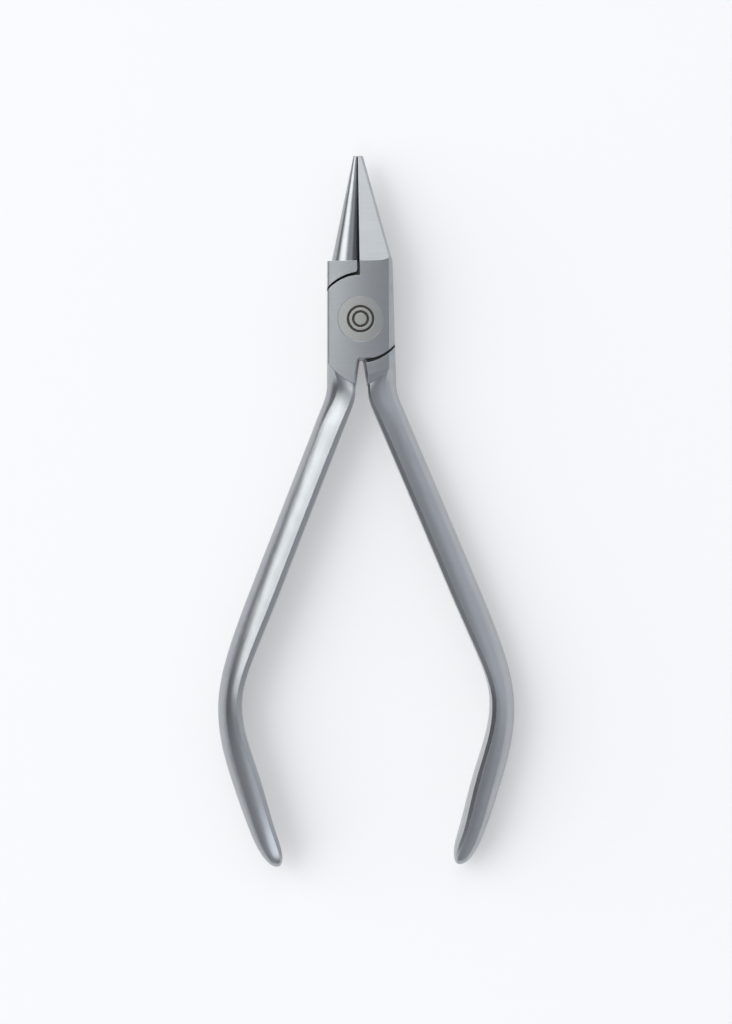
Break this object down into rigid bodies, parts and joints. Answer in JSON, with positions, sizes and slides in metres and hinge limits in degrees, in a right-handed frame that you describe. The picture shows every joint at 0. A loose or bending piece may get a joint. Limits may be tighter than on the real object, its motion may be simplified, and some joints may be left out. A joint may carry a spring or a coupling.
{
  "type": "jewellery pliers",
  "caption": "Lap-joint jewellery pliers: one round conical beak, one flat tapering beak, a flush pivot rivet and long bowed handles, for bending and closing small wire and findings.",
  "frame": {"origin": "on the pivot axis, in the flat back face of the joint", "axes": "+Z along the pivot out of the front face, +Y towards the beaks, +X to the flat beak's side"},
  "size_m": [0.054, 0.1295, 0.0084],
  "materials": {
    "satin_steel": "satin, fine brushing",
    "rivet_steel": "matte, ground flush"
  },
  "bodies": {
    "front": {"front_half": "satin_steel", "pivot_rivet": "rivet_steel"},
    "rear": {"rear_half": "satin_steel"}
  },
  "joints": [
    {"name": "pivot", "type": "hinge", "parent": "front", "child": "rear", "pos_m": [0, 0, 0], "axis": [0, 0, 1], "range_deg": [0, 30]}
  ]
}
